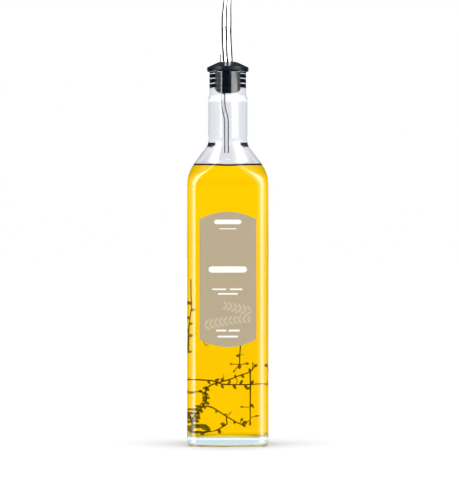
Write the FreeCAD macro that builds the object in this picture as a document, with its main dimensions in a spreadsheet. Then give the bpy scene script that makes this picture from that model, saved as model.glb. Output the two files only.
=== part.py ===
"""Square glass oil bottle with arched panels and a steel pourer.

The bottle stands on its base with +Z up and its label towards -Y. Its body is a
rounded square, its neck is round, and the shoulder turns one into the other.
A rubber stopper with sealing fins sits in the bore and holds two steel tubes:
the bent spout and the thin vent. Lengths are millimetres, angles are degrees.
"""
import FreeCAD, Part
import math
import os
import Sketcher
from FreeCAD import Placement, Rotation, Vector

DIMENSIONS = [
    # glass body
    ("body_width", 57.2),
    ("corner_radius", 8.6),
    ("wall", 3.0),
    ("base_thickness", 6.5),
    ("heel_radius", 3.5),
    ("inner_heel_radius", 4.5),
    ("punt_diameter", 43.0),
    ("punt_depth", 2.5),
    # shoulder
    ("shoulder_radius", 29.4),
    ("shoulder_angle", 53.0),
    # neck
    ("glass_height", 264.0),
    ("neck_base_height", 211.7),
    ("neck_diameter", 28.2),
    ("neck_root_radius", 6.0),
    ("bore_diameter", 18.5),
    ("bore_root_radius", 9.0),
    ("finish_length", 17.6),
    ("finish_diameter", 26.2),
    ("mouth_round", 0.8),
    ("mouth_chamfer", 0.6),
    # contents
    ("oil_level", 197.5),
    # label
    ("label_width", 39.6),
    ("label_top", 158.8),
    ("label_bottom", 75.1),
    ("label_crown", 5.3),
    ("label_thickness", 0.15),
    # stopper
    ("flange_diameter", 29.6),
    ("rim_height", 2.7),
    ("dome_height", 6.7),
    ("crown_diameter", 12.4),
    ("crown_round", 7.0),
    ("rim_round", 0.9),
    ("plug_length", 15.3),
    ("fin_clearance", 0.1),
    ("fin_depth", 0.95),
    ("fin_thickness", 1.5),
    ("fin_taper", 0.5),
    ("first_fin_drop", 2.0),
    ("fin_pitch", 3.5),
    ("tube_clearance", 0.05),
    # spout
    ("spout_diameter", 7.1),
    ("spout_tip_diameter", 4.9),
    ("spout_wall", 0.9),
    ("spout_lip_width", 0.3),
    ("spout_height", 56.4),
    ("spout_heading", 16.0),
    ("spout_back_lean", 16.0),
    ("spout_root_radius", 17.6),
    ("spout_bend_radius", 70.4),
    ("spout_taper_length", 19.6),
    ("spout_cut_angle", 35.0),
    # vent tube
    ("vent_diameter", 3.5),
    ("vent_wall", 0.6),
    ("vent_gap", 0.1),
    ("vent_side", 3.55),
    ("vent_stub_height", 12.3),
    ("vent_bend_radius", 20.0),
    ("vent_bend_drop", 5.0),
    ("vent_end_height", 205.4),
    ("vent_end_side", 0.95),
    ("vent_end_back", 1.2),
]
FIN_COUNT = 4

doc = FreeCAD.newDocument("OilBottle")
sheet = doc.addObject("Spreadsheet::Sheet", "Dimensions")
for row, (alias, value) in enumerate(DIMENSIONS, start=1):
    sheet.set("A%d" % row, alias)
    sheet.set("B%d" % row, str(value))
    sheet.setAlias("B%d" % row, alias)
doc.recompute()


def size(alias):
    """Value of one driving dimension."""
    return float(sheet.get(alias))


ALIASES = {alias for alias, value in DIMENSIONS}


def from_sheet(text):
    """Expression text in which every bare alias becomes a reference to the sheet."""
    words = []
    word = ""
    for letter in text + " ":
        if letter.isalnum() or letter == "_":
            word += letter
            continue
        words.append("Dimensions." + word if word in ALIASES else word)
        words.append(letter)
        word = ""
    return "".join(words).strip()


# ---------------------------------------------------------------- sketch and feature helpers

def new_body(name):
    return doc.addObject("PartDesign::Body", name)


def origin_plane(body, role):
    return next(item for item in body.Origin.OriginFeatures if item.Role == role)


def new_sketch(body, name, role, offset=None):
    """Sketch on one origin plane of its own body; offset is expression text along the normal."""
    sketch = body.newObject("Sketcher::SketchObject", name)
    sketch.AttachmentSupport = [(origin_plane(body, role), "")]
    sketch.MapMode = "FlatFace"
    if offset is not None:
        sketch.setExpression("AttachmentOffset.Base.z", from_sheet(offset))
    return sketch


def bind(sketch, constraint, name, expression):
    """Add a named driving constraint and tie it to the sheet."""
    index = sketch.addConstraint(constraint)
    sketch.renameConstraint(index, name)
    sketch.setExpression("Constraints." + name, from_sheet(expression))


def place_point(sketch, geometry, end, name, across, up):
    """Put one end of a sketch curve at (across, up), each an expression."""
    for axis, kind, expression in (("X", "DistanceX", across), ("Y", "DistanceY", up)):
        constraint = Sketcher.Constraint(kind, -1, 1, geometry, end, value_of(expression))
        bind(sketch, constraint, name + axis, expression)


def value_of(expression):
    """Number that an expression gives, for the first drawing of a sketch."""
    return float(sheet.evalExpression(from_sheet(expression)))


def draw_polygon(sketch, corners):
    """Closed outline through corners, each a pair of expressions."""
    points = [Vector(value_of(across), value_of(up), 0) for across, up in corners]
    count = len(points)
    for index in range(count):
        sketch.addGeometry(Part.LineSegment(points[index], points[(index + 1) % count]), False)
    for index in range(count):
        sketch.addConstraint(Sketcher.Constraint("Coincident", index, 2, (index + 1) % count, 1))
    for index, (across, up) in enumerate(corners):
        place_point(sketch, index, 1, "corner%d" % index, across, up)


def draw_circle(sketch, radius, across="0", up="0"):
    centre = Vector(value_of(across), value_of(up), 0)
    sketch.addGeometry(Part.Circle(centre, Vector(0, 0, 1), value_of(radius)), False)
    bind(sketch, Sketcher.Constraint("Radius", 0, value_of(radius)), "radius", radius)
    place_point(sketch, 0, 3, "centre", across, up)


def draw_rounded_square(sketch, half_width, corner):
    """Square of four sides and four corner arcs, centred on the sketch origin."""
    half = value_of(half_width)
    radius = value_of(corner)
    flat = half - radius
    for turn in range(4):
        spin = Rotation(Vector(0, 0, 1), 90 * turn)
        start = spin.multVec(Vector(-flat, -half, 0))
        end = spin.multVec(Vector(flat, -half, 0))
        centre = spin.multVec(Vector(flat, -flat, 0))
        sketch.addGeometry(Part.LineSegment(start, end), False)
        circle = Part.Circle(centre, Vector(0, 0, 1), radius)
        first = math.radians(90 * turn - 90)
        sketch.addGeometry(Part.ArcOfCircle(circle, first, first + math.pi / 2), False)
    for side in range(4):
        line = 2 * side
        arc = line + 1
        following = (line + 2) % 8
        sketch.addConstraint(Sketcher.Constraint("Tangent", line, 2, arc, 1))
        sketch.addConstraint(Sketcher.Constraint("Tangent", arc, 2, following, 1))
        sketch.addConstraint(Sketcher.Constraint("Horizontal" if side % 2 == 0 else "Vertical", line))
    for arc in (3, 5, 7):
        sketch.addConstraint(Sketcher.Constraint("Equal", 1, arc))
    bind(sketch, Sketcher.Constraint("Radius", 1, radius), "corner", corner)
    reach = [("DistanceY", 0, "-"), ("DistanceX", 2, ""), ("DistanceY", 4, ""), ("DistanceX", 6, "-")]
    for number, (kind, line, sign) in enumerate(reach):
        constraint = Sketcher.Constraint(kind, -1, 1, line, 1, half if sign == "" else -half)
        bind(sketch, constraint, "reach%d" % number, "%s(%s)" % (sign, half_width))


def pad(body, sketch, name, length):
    feature = body.newObject("PartDesign::Pad", name)
    feature.Profile = sketch
    feature.setExpression("Length", from_sheet(length))
    return feature


def revolve(body, sketch, name, kind="PartDesign::Revolution"):
    """Full turn of a sketch about its own vertical axis."""
    feature = body.newObject(kind, name)
    feature.Profile = sketch
    feature.ReferenceAxis = (sketch, ["V_Axis"])
    feature.Angle = 360
    doc.recompute()
    return feature


def ring_edges(feature, radius, height):
    """Names of the circular edges of a turned feature at one radius and height."""
    found = []
    for number, edge in enumerate(feature.Shape.Edges, start=1):
        curve = edge.Curve
        if not isinstance(curve, Part.Circle):
            continue
        level = abs(curve.Center.z - height) < 1e-3
        if level and abs(curve.Radius - radius) < 1e-3 and math.hypot(curve.Center.x, curve.Center.y) < 1e-3:
            found.append("Edge%d" % number)
    return found


def level_edges(feature, height):
    """Names of the edges that lie wholly in one horizontal plane."""
    found = []
    for number, edge in enumerate(feature.Shape.Edges, start=1):
        box = edge.BoundBox
        if abs(box.ZMin - height) < 1e-3 and abs(box.ZMax - height) < 1e-3:
            found.append("Edge%d" % number)
    return found


def fillet(body, base, name, edges, radius):
    feature = body.newObject("PartDesign::Fillet", name)
    feature.Base = (base, edges)
    feature.setExpression("Radius", from_sheet(radius))
    doc.recompute()
    return feature


def check_removed(before, feature):
    """A cut that points away from the solid changes nothing, so its volume is compared."""
    if not feature.Shape.Volume < before.Shape.Volume:
        raise RuntimeError("%s removed nothing" % feature.Name)


# ---------------------------------------------------------------- bottle shape

HALF_WIDTH = "body_width / 2"
FLAT_HALF = "(body_width / 2 - corner_radius)"
TURN = "((90 - shoulder_angle) * 1 deg)"
SLOPE = "(shoulder_angle * 1 deg)"
# the vertical wall meets the cone line at CREASE, and the shoulder arc rounds that crease
CREASE = "(neck_base_height - (body_width - neck_diameter) / 2 * tan(%s))" % SLOPE
SHOULDER_START = "(%s - shoulder_radius * tan(%s / 2))" % (CREASE, TURN)
SHOULDER_END = "(%s + shoulder_radius * sin(%s))" % (SHOULDER_START, TURN)
# the inner cone line lies one wall inside the outer one and meets the bore here
INNER_LIFT = "((neck_diameter - bore_diameter) / 2 * tan(%s) - wall / cos(%s))" % (SLOPE, SLOPE)
BORE_BASE = "(neck_base_height + %s)" % INNER_LIFT


def shell_end(wall):
    """Height and radius where the shoulder arc, set in by wall, runs into its cone."""
    radius = "(shoulder_radius - %s)" % wall
    height = "(%s + %s * sin(%s))" % (SHOULDER_START, radius, TURN)
    reach = "(body_width / 2 - %s - %s * (1 - cos(%s)))" % (wall, radius, TURN)
    return height, reach


def shoulder_solid(wall):
    """Shoulder that turns the rounded square into a circle.

    At every height its section is a rounded square. The sides follow the shoulder
    arc inwards while their flats shrink to nothing, so that the four flat panels
    end in arches and the top is a full circle. Each corner is one patch: arcs of a
    growing radius in one direction, the shoulder arc in the other.
    """
    half = value_of(HALF_WIDTH) - wall
    flat = value_of(FLAT_HALF)
    arc_radius = size("shoulder_radius") - wall
    start = value_of(SHOULDER_START)
    turn = math.radians(90 - size("shoulder_angle"))
    # shoulder arc as a rational cubic with its middle weight from half the turn
    middle = math.cos(turn / 2)
    weights = [1, (1 + 2 * middle) / 3, (1 + 2 * middle) / 3, 1]
    top_reach = half - arc_radius * (1 - math.cos(turn))
    knee = start + arc_radius * math.tan(turn / 2)
    top = start + arc_radius * math.sin(turn)
    reach = [half, half, (2 * middle * half + top_reach) / (1 + 2 * middle), top_reach]
    height = [start, (start + 2 * middle * knee) / (1 + 2 * middle),
              (2 * middle * knee + top) / (1 + 2 * middle), top]
    flats = [flat, flat, 0, 0]
    corner_weight = math.sqrt(0.5)
    faces = []
    for side in range(4):
        spin = Rotation(Vector(0, 0, 1), 90 * side)
        first = [spin.multVec(Vector(r, f, z)) for r, f, z in zip(reach, flats, height)]
        apex = [spin.multVec(Vector(r, r, z)) for r, z in zip(reach, height)]
        last = [spin.multVec(Vector(f, r, z)) for r, f, z in zip(reach, flats, height)]
        other = [spin.multVec(Vector(-f, r, z)) for r, f, z in zip(reach, flats, height)]
        corner = Part.BSplineSurface()
        corner.buildFromPolesMultsKnots(
            [first, apex, last], [3, 3], [4, 4], [0, 1], [0, 1], False, False, 2, 3,
            [weights, [corner_weight * weight for weight in weights], weights])
        panel = Part.BSplineSurface()
        panel.buildFromPolesMultsKnots(
            [last, other], [2, 2], [4, 4], [0, 1], [0, 1], False, False, 1, 3, [weights, weights])
        faces += [corner.toShape(), panel.toShape()]
    for level in (start, top):
        rim = []
        for face in faces:
            for edge in face.Edges:
                box = edge.BoundBox
                if edge.Length > 1e-6 and abs(box.ZMin - level) < 1e-4 and abs(box.ZMax - level) < 1e-4:
                    rim.append(edge)
        faces.append(Part.Face(Part.Wire(Part.__sortEdges__(rim))))
    shell = Part.Shell(faces)
    shell.sewShape()
    solid = Part.Solid(shell)
    if solid.Volume < 0:
        solid.reverse()
    return solid


def shoulder_feature(name, wall):
    feature = doc.addObject("Part::Feature", name)
    feature.Shape = shoulder_solid(wall)
    return feature


def outer_prism():
    body = new_body("GlassPrism")
    sketch = new_sketch(body, "GlassPrismSection", "XY_Plane")
    draw_rounded_square(sketch, HALF_WIDTH, "corner_radius")
    block = pad(body, sketch, "GlassPrismPad", SHOULDER_START)
    doc.recompute()
    heel = fillet(body, block, "Heel", level_edges(block, 0), "heel_radius")
    punt_sketch = new_sketch(body, "PuntProfile", "XZ_Plane")
    draw_polygon(punt_sketch, [
        ("0", "-punt_depth"),
        ("punt_diameter / 2", "-punt_depth"),
        ("punt_diameter / 2", "0"),
        ("punt_diameter / 2 - 2 * punt_depth", "punt_depth"),
        ("0", "punt_depth"),
    ])
    punt = revolve(body, punt_sketch, "Punt", "PartDesign::Groove")
    check_removed(heel, punt)
    return body


def inner_prism():
    body = new_body("CavityPrism")
    sketch = new_sketch(body, "CavityPrismSection", "XY_Plane", "base_thickness")
    draw_rounded_square(sketch, HALF_WIDTH + " - wall", "corner_radius - wall")
    block = pad(body, sketch, "CavityPrismPad", SHOULDER_START + " - base_thickness")
    doc.recompute()
    fillet(body, block, "InnerHeel", level_edges(block, size("base_thickness")), "inner_heel_radius")
    return body


def outer_neck():
    end_height, end_reach = shell_end("0")
    body = new_body("GlassNeck")
    sketch = new_sketch(body, "GlassNeckProfile", "XZ_Plane")
    ledge = "(neck_diameter - finish_diameter) / 2"
    draw_polygon(sketch, [
        ("0", end_height),
        (end_reach, end_height),
        ("neck_diameter / 2", "neck_base_height"),
        ("neck_diameter / 2", "glass_height - finish_length - " + ledge),
        ("finish_diameter / 2", "glass_height - finish_length"),
        ("finish_diameter / 2", "glass_height"),
        ("0", "glass_height"),
    ])
    turned = revolve(body, sketch, "GlassNeckTurn")
    root_edge = ring_edges(turned, size("neck_diameter") / 2, size("neck_base_height"))
    root = fillet(body, turned, "NeckRoot", root_edge, "neck_root_radius")
    lip_edge = ring_edges(root, size("finish_diameter") / 2, size("glass_height"))
    fillet(body, root, "MouthRound", lip_edge, "mouth_round")
    return body


def inner_neck():
    end_height, end_reach = shell_end("wall")
    body = new_body("CavityNeck")
    sketch = new_sketch(body, "CavityNeckProfile", "XZ_Plane")
    draw_polygon(sketch, [
        ("0", end_height),
        (end_reach, end_height),
        ("bore_diameter / 2", BORE_BASE),
        ("bore_diameter / 2", "glass_height - mouth_chamfer"),
        ("bore_diameter / 2 + 2 * mouth_chamfer", "glass_height + mouth_chamfer"),
        ("0", "glass_height + mouth_chamfer"),
    ])
    turned = revolve(body, sketch, "CavityNeckTurn")
    root_edge = ring_edges(turned, size("bore_diameter") / 2, value_of(BORE_BASE))
    fillet(body, turned, "BoreRoot", root_edge, "bore_root_radius")
    return body


def fused(name, pieces):
    feature = doc.addObject("Part::MultiFuse", name)
    feature.Shapes = pieces
    feature.Refine = True
    return feature


def glass_and_oil():
    outside = fused("GlassOutside", [
        outer_prism(), shoulder_feature("GlassShoulder", 0), outer_neck()])
    inside = fused("GlassInside", [
        inner_prism(), shoulder_feature("CavityShoulder", size("wall")), inner_neck()])
    bottle = doc.addObject("Part::Cut", "Bottle")
    bottle.Base = outside
    bottle.Tool = inside
    below = doc.addObject("Part::Box", "BelowOilLevel")
    for side in ("Length", "Width"):
        below.setExpression(side, from_sheet("body_width"))
    below.setExpression("Height", from_sheet("oil_level"))
    for axis in ("x", "y"):
        below.setExpression("Placement.Base." + axis, from_sheet("-body_width / 2"))
    oil = doc.addObject("Part::Common", "Oil")
    oil.Base = inside
    oil.Tool = below
    return bottle, oil


# ---------------------------------------------------------------- label

def label():
    """Paper label with a crowned top and bottom edge, flat on the front panel."""
    body = new_body("Label")
    sketch = new_sketch(body, "LabelOutline", "XZ_Plane", HALF_WIDTH)
    half = size("label_width") / 2
    top = size("label_top")
    bottom = size("label_bottom")
    crown = size("label_crown")
    corners = [Vector(-half, bottom, 0), Vector(half, bottom, 0), Vector(half, top, 0), Vector(-half, top, 0)]
    sketch.addGeometry(Part.Arc(corners[0], Vector(0, bottom - crown, 0), corners[1]), False)
    sketch.addGeometry(Part.LineSegment(corners[1], corners[2]), False)
    sketch.addGeometry(Part.Arc(corners[2], Vector(0, top + crown, 0), corners[3]), False)
    sketch.addGeometry(Part.LineSegment(corners[3], corners[0]), False)
    # an arc is stored anticlockwise, so each one starts where the side before it ends
    joins = [(0, 2, 1, 1), (1, 2, 2, 1), (2, 2, 3, 1), (3, 2, 0, 1)]
    for first, first_end, second, second_end in joins:
        sketch.addConstraint(Sketcher.Constraint("Coincident", first, first_end, second, second_end))
    place_point(sketch, 1, 1, "right_low", "label_width / 2", "label_bottom")
    place_point(sketch, 1, 2, "right_top", "label_width / 2", "label_top")
    place_point(sketch, 3, 1, "left_top", "-label_width / 2", "label_top")
    place_point(sketch, 3, 2, "left_low", "-label_width / 2", "label_bottom")
    bow = "((label_width / 2)^2 + label_crown^2) / (2 * label_crown)"
    for arc, name in ((0, "bottom_bow"), (2, "top_bow")):
        bind(sketch, Sketcher.Constraint("Radius", arc, value_of(bow)), name, bow)
    pad(body, sketch, "LabelPaper", "label_thickness")
    return body


# ---------------------------------------------------------------- stopper

PLUG_BOTTOM = "(glass_height - plug_length)"
DOME_TOP = "(glass_height + dome_height)"
FIN_RADIUS = "(bore_diameter / 2 - fin_clearance)"
PLUG_RADIUS = "(%s - fin_depth)" % FIN_RADIUS
# the vent stands beside and behind the spout, one gap clear of it
VENT_BACK = ("sqrt(((spout_diameter + vent_diameter) / 2 + vent_gap + 2 * tube_clearance)^2"
             " - vent_side^2)")


def stopper():
    body = new_body("Stopper")
    sketch = new_sketch(body, "StopperProfile", "XZ_Plane")
    core = PLUG_RADIUS
    outline = [("0", PLUG_BOTTOM), (core + " - fin_taper", PLUG_BOTTOM), (core, PLUG_BOTTOM + " + fin_taper")]
    for fin in reversed(range(FIN_COUNT)):
        upper = "glass_height - first_fin_drop - %d * fin_pitch" % fin
        outline += [
            (core, upper + " - fin_thickness"),
            (FIN_RADIUS, upper + " - fin_thickness + fin_taper"),
            (FIN_RADIUS, upper),
            (core, upper),
        ]
    outline += [
        (core, "glass_height"),
        ("flange_diameter / 2", "glass_height"),
        ("flange_diameter / 2", "glass_height + rim_height"),
        ("crown_diameter / 2", DOME_TOP),
        ("0", DOME_TOP),
    ]
    draw_polygon(sketch, outline)
    turned = revolve(body, sketch, "StopperTurn")
    crown_edge = ring_edges(turned, size("crown_diameter") / 2, value_of(DOME_TOP))
    crown = fillet(body, turned, "CrownRound", crown_edge, "crown_round")
    rim_edge = ring_edges(crown, size("flange_diameter") / 2, size("glass_height") + size("rim_height"))
    rim = fillet(body, crown, "RimRound", rim_edge, "rim_round")
    holes = [
        ("SpoutHole", "spout_diameter / 2 + tube_clearance", "0", "0"),
        ("VentHole", "vent_diameter / 2 + tube_clearance", "-vent_side", VENT_BACK),
    ]
    solid = rim
    for name, radius, across, up in holes:
        circle = new_sketch(body, name + "Circle", "XY_Plane", DOME_TOP + " + 1")
        draw_circle(circle, radius, across, up)
        hole = body.newObject("PartDesign::Pocket", name)
        hole.Profile = circle
        hole.Type = "ThroughAll"
        doc.recompute()
        check_removed(solid, hole)
        solid = hole
    return body


# ---------------------------------------------------------------- spout

def spout_bend():
    """Point of the spout's main bend at a lean, with the leans of its start, taper and tip."""
    back_lean = math.radians(size("spout_back_lean"))
    root = size("spout_root_radius")
    bend = size("spout_bend_radius")
    start_across = -root * (1 - math.cos(back_lean))
    start_up = value_of(DOME_TOP) + root * math.sin(back_lean)

    def point(lean):
        return Vector(start_across + bend * (math.cos(back_lean) - math.cos(lean)),
                      start_up + bend * (math.sin(lean) + math.sin(back_lean)), 0)

    def lean_at(height):
        return math.asin((height - start_up) / bend - math.sin(back_lean))

    tip = size("glass_height") + size("spout_height")
    return point, -back_lean, lean_at(tip - size("spout_taper_length")), lean_at(tip)


def arc_through(point, first, last):
    return Part.Arc(point(first), point((first + last) / 2), point(last))


def section_across(body, name, spot, lean, radius):
    """Circle square to the route at one of its points; spot is given in the route's plane."""
    sketch = new_sketch(body, name, "XY_Plane")
    tilt = Rotation(Vector(0, 1, 0), math.degrees(lean))
    sketch.AttachmentOffset = Placement(Vector(spot.x, 0, spot.y), tilt)
    draw_circle(sketch, radius)
    return sketch


def spout():
    """Bent steel tube that tapers to a tip cut on a slant.

    It is modelled in the plane of its bend, X along the way that it pours, and
    then turned to its heading. The tube rises straight through the stopper,
    leans back over a short arc and swings forward over a long one.
    """
    point, start_lean, taper_lean, tip_lean = spout_bend()
    dome_top = value_of(DOME_TOP)
    root = size("spout_root_radius")
    root_middle = Vector(-root * (1 - math.cos(start_lean / 2)), dome_top - root * math.sin(start_lean / 2), 0)
    foot = Vector(0, value_of(PLUG_BOTTOM), 0)
    top = Vector(0, dome_top, 0)
    body = new_body("Spout")
    route = new_sketch(body, "SpoutRoute", "XZ_Plane")
    route.addGeometry(Part.LineSegment(foot, top), False)
    route.addGeometry(Part.Arc(top, root_middle, point(start_lean)), False)
    route.addGeometry(arc_through(point, start_lean, taper_lean), False)
    taper = new_sketch(body, "SpoutTaperRoute", "XZ_Plane")
    taper.addGeometry(arc_through(point, taper_lean, tip_lean), False)
    for name, kind, inset in (
        ("SpoutWall", "PartDesign::AdditivePipe", "0"),
        ("SpoutBore", "PartDesign::SubtractivePipe", "spout_wall"),
    ):
        straight = "spout_diameter / 2 - " + inset
        narrow = "spout_tip_diameter / 2 - " + inset
        tube = body.newObject(kind, name)
        tube.Profile = section_across(body, name + "Foot", foot, 0, straight)
        tube.Spine = route
        doc.recompute()
        cone = body.newObject(kind, name + "Taper")
        cone.Profile = section_across(body, name + "TaperStart", point(taper_lean), taper_lean, straight)
        cone.Spine = taper
        cone.Transformation = "Multisection"
        cone.Sections = [(section_across(body, name + "Tip", point(tip_lean), tip_lean, narrow), [""])]
        doc.recompute()
    cut_spout_tip(body, body.Tip, point(tip_lean), tip_lean)
    body.Placement = Placement(Vector(0, 0, 0), Rotation(Vector(0, 0, 1), 90 - size("spout_heading")))
    return body


def cut_spout_tip(body, tube, tip, lean):
    """Slant cut that leaves the side the spout leans back on as its long lip."""
    half = size("spout_tip_diameter") / 2
    slope = lean - math.radians(size("spout_cut_angle"))
    along = Vector(math.sin(slope), math.cos(slope), 0)
    lip = Vector(tip.x - half * math.cos(lean) + size("spout_lip_width"), tip.y + half * math.sin(lean), 0)
    reach = 3 * size("spout_tip_diameter")
    away = Vector(reach, 0, 0)
    corners = [lip - along * reach, lip - along * reach + away, lip + along * reach + away, lip + along * reach]
    outline = new_sketch(body, "SpoutTipOutline", "XZ_Plane")
    for index, corner in enumerate(corners):
        outline.addGeometry(Part.LineSegment(corner, corners[(index + 1) % 4]), False)
        if index > 0:
            outline.addConstraint(Sketcher.Constraint("Coincident", index - 1, 2, index, 1))
    outline.addConstraint(Sketcher.Constraint("Coincident", 3, 2, 0, 1))
    cut = body.newObject("PartDesign::Pocket", "SpoutTipCut")
    cut.Profile = outline
    cut.Midplane = True
    cut.setExpression("Length", from_sheet("2 * spout_diameter"))
    doc.recompute()
    check_removed(tube, cut)


# ---------------------------------------------------------------- vent tube

def vent_tube():
    """Thin tube: a stub above the dome, an S-bend under the plug and a straight end."""
    stub_back = value_of(VENT_BACK)
    step_x = size("vent_side") - size("vent_end_side")
    step_y = size("vent_end_back") - stub_back
    offset = math.hypot(step_x, step_y)
    bend = size("vent_bend_radius")
    lean = math.acos(1 - offset / (2 * bend))
    top = size("glass_height") + size("vent_stub_height")
    bend_top = value_of(PLUG_BOTTOM) - size("vent_bend_drop")
    bend_middle = bend_top - bend * math.sin(lean)
    bend_low = bend_middle - bend * math.sin(lean)
    end = size("vent_end_height")
    body = new_body("VentTube")
    route = new_sketch(body, "VentRoute", "XZ_Plane")
    half_turn = lean / 2
    upper_mid = Vector(bend * (1 - math.cos(half_turn)), bend_top - bend * math.sin(half_turn), 0)
    lower_mid = Vector(offset - upper_mid.x, bend_low + bend * math.sin(half_turn), 0)
    middle = Vector(offset / 2, bend_middle, 0)
    route.addGeometry(Part.LineSegment(Vector(0, top, 0), Vector(0, bend_top, 0)), False)
    route.addGeometry(Part.Arc(Vector(0, bend_top, 0), upper_mid, middle), False)
    route.addGeometry(Part.Arc(middle, lower_mid, Vector(offset, bend_low, 0)), False)
    route.addGeometry(Part.LineSegment(Vector(offset, bend_low, 0), Vector(offset, end, 0)), False)
    doc.recompute()
    for name, kind, radius in (
        ("VentWall", "PartDesign::AdditivePipe", "vent_diameter / 2"),
        ("VentBore", "PartDesign::SubtractivePipe", "vent_diameter / 2 - vent_wall"),
    ):
        circle = new_sketch(body, name + "Circle", "XY_Plane", "glass_height + vent_stub_height")
        draw_circle(circle, radius)
        pipe = body.newObject(kind, name)
        pipe.Profile = circle
        pipe.Spine = route
        doc.recompute()
    heading = math.degrees(math.atan2(step_y, step_x))
    body.Placement = Placement(Vector(-size("vent_side"), stub_back, 0), Rotation(Vector(0, 0, 1), heading))
    return body


# ---------------------------------------------------------------- document and files

def build():
    bottle, oil = glass_and_oil()
    parts = [
        (bottle, "glass_bottle"),
        (oil, "oil"),
        (label(), "front_label"),
        (stopper(), "stopper"),
        (spout(), "spout"),
        (vent_tube(), "vent_tube"),
    ]
    for feature, name in parts:
        feature.Label = name
    doc.recompute()
    for item in doc.Objects:
        if "Invalid" in item.State or "Error" in item.State:
            raise RuntimeError("%s did not build: %s" % (item.Name, item.State))
    os.makedirs("parts", exist_ok=True)
    for feature, name in parts:
        shape = feature.Shape
        if shape.isNull() or not shape.isValid():
            raise RuntimeError(name + " has no valid shape")
        shape.exportStep("parts/%s.step" % name)
        box = shape.optimalBoundingBox()
        print("%s: %d solid, %.0f mm3, z %.2f to %.2f" % (
            name, len(shape.Solids), shape.Volume, box.ZMin, box.ZMax))


build()
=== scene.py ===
import math
import random

import bpy
from mathutils import Matrix, Vector


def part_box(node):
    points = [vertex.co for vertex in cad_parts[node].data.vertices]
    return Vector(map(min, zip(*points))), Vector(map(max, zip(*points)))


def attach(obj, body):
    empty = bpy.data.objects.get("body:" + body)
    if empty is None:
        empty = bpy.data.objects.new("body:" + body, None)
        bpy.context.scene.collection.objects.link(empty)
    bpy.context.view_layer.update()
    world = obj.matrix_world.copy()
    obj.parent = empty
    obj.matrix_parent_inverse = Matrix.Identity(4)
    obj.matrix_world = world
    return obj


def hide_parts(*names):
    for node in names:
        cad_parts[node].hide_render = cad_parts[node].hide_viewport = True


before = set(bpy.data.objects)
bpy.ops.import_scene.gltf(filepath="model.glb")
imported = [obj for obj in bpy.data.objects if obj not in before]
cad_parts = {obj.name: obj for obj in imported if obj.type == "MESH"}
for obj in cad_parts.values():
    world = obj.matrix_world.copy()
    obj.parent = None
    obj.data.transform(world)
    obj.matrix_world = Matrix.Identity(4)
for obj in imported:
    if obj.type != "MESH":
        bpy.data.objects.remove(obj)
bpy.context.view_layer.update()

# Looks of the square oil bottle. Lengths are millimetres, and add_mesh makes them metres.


# ------------------------------------------------------------------ sizes

def frame_box(node):
    """Lowest and highest corner of a CAD node, in millimetres."""
    return [[round(value * 1000, 2) for value in corner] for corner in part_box(node)]


glass_high = frame_box("glass_bottle")[1]
label_high = frame_box("front_label")[1]
stopper_low, stopper_high = frame_box("stopper")
vent_low, vent_high = frame_box("vent_tube")

# body: half its width, corner radius, half the flat width of a side, wall, floor, and rounds at the foot
HALF = glass_high[0]
CORNER = 8.6
FLAT = HALF - CORNER
WALL = 3.0
BASE = 6.5
HEEL = 3.5
INNER_HEEL = 4.5
# shallow hollow under the base
PUNT_RADIUS = 21.5
PUNT_DEPTH = 2.5
# shoulder: the arc from the body to the cone, the cone's slope and the angle that the arc turns
SHOULDER_RADIUS = 29.4
SLOPE = math.radians(53)
TURN = math.pi / 2 - SLOPE
# neck and bore: radii, the rounds at their roots, and the narrower finish with the step down to it
HEIGHT = glass_high[2]
NECK = 14.1
NECK_BASE = 211.7
NECK_ROOT = 6.0
NECK_EDGE = 0.6
BORE = 9.25
BORE_ROOT = 9.0
FINISH = 13.1
FINISH_LENGTH = 17.6
FINISH_STEP = 1.6
FINISH_FOOT, FINISH_FOOT_DEPTH = 0.15, 0.2
MOUTH_ROUND = 0.8
MOUTH_BEVEL = 0.6
# heights at which the cone would meet the body's side, the arc starts, and the inner cone would meet the bore
CREASE = NECK_BASE - (HALF - NECK) * math.tan(SLOPE)
SHOULDER_START = CREASE - SHOULDER_RADIUS * math.tan(TURN / 2)
BORE_BASE = NECK_BASE + (NECK - BORE) * math.tan(SLOPE) - WALL / math.cos(SLOPE)
# the solid has 197.5; the sloping glass lifts the picture of the surface
OIL_LEVEL = 196.95
# how far the oil's skin reaches into the glass, so that no film of air shows between them
OIL_INTO_WALL = 0.2
# the oil creeps up the wall: by how much, over what width, and how fast it fades away from the wall
MENISCUS = 1.2
MENISCUS_WIDTH = 5.5
MENISCUS_FADE = 1.25
# smallest corner radius of a ring
LEAST_CORNER = 0.3
# stopper: top and bottom, the flange with its edge and rim, and the crown of the dome
DOME_TOP = stopper_high[2]
PLUG_BOTTOM = stopper_low[2]
FLANGE = 14.8
FLANGE_EDGE = 0.3
RIM = 2.7
RIM_ROUND = 0.9
CROWN = 6.2
CROWN_ROUND = 7.0
# the fins press into the bore, so that rubber and glass meet without a film of air
PRESSED = BORE + 0.06
GROOVE = 0.3
FIRST_FIN_DROP = 2.0
FIN_PITCH = 3.5
FIN_COUNT = 4
FIN_HEIGHT = 2.75
FIN_BEVEL = 0.15
# rounded end of the plug, as (radius, height above its bottom)
PLUG_END = ((0, 0), (5.4, 0), (6.7, 0.3), (7.8, 0.9), (8.6, 1.7), (9.0, 2.4))
# narrow collar below the mouth, by its depths, and the undercut beside the mouth's bevel
COLLAR_LOW, COLLAR_HIGH, COLLAR_BEVEL, UNDERCUT = 1.4, 0.7, 0.1, 0.35
# label, whose paper and print are flat prisms on the front panel
LABEL_HALF = label_high[0]
LABEL_CROWN = 5.3
LABEL_TOP = label_high[2] - LABEL_CROWN
LABEL_BOTTOM = 75.1
PAPER_FRONT, PAPER_BACK = -HALF - 0.12, -HALF + 0.05
PRINT_FRONT, PRINT_BACK = -HALF - 0.145, -HALF - 0.1
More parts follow.
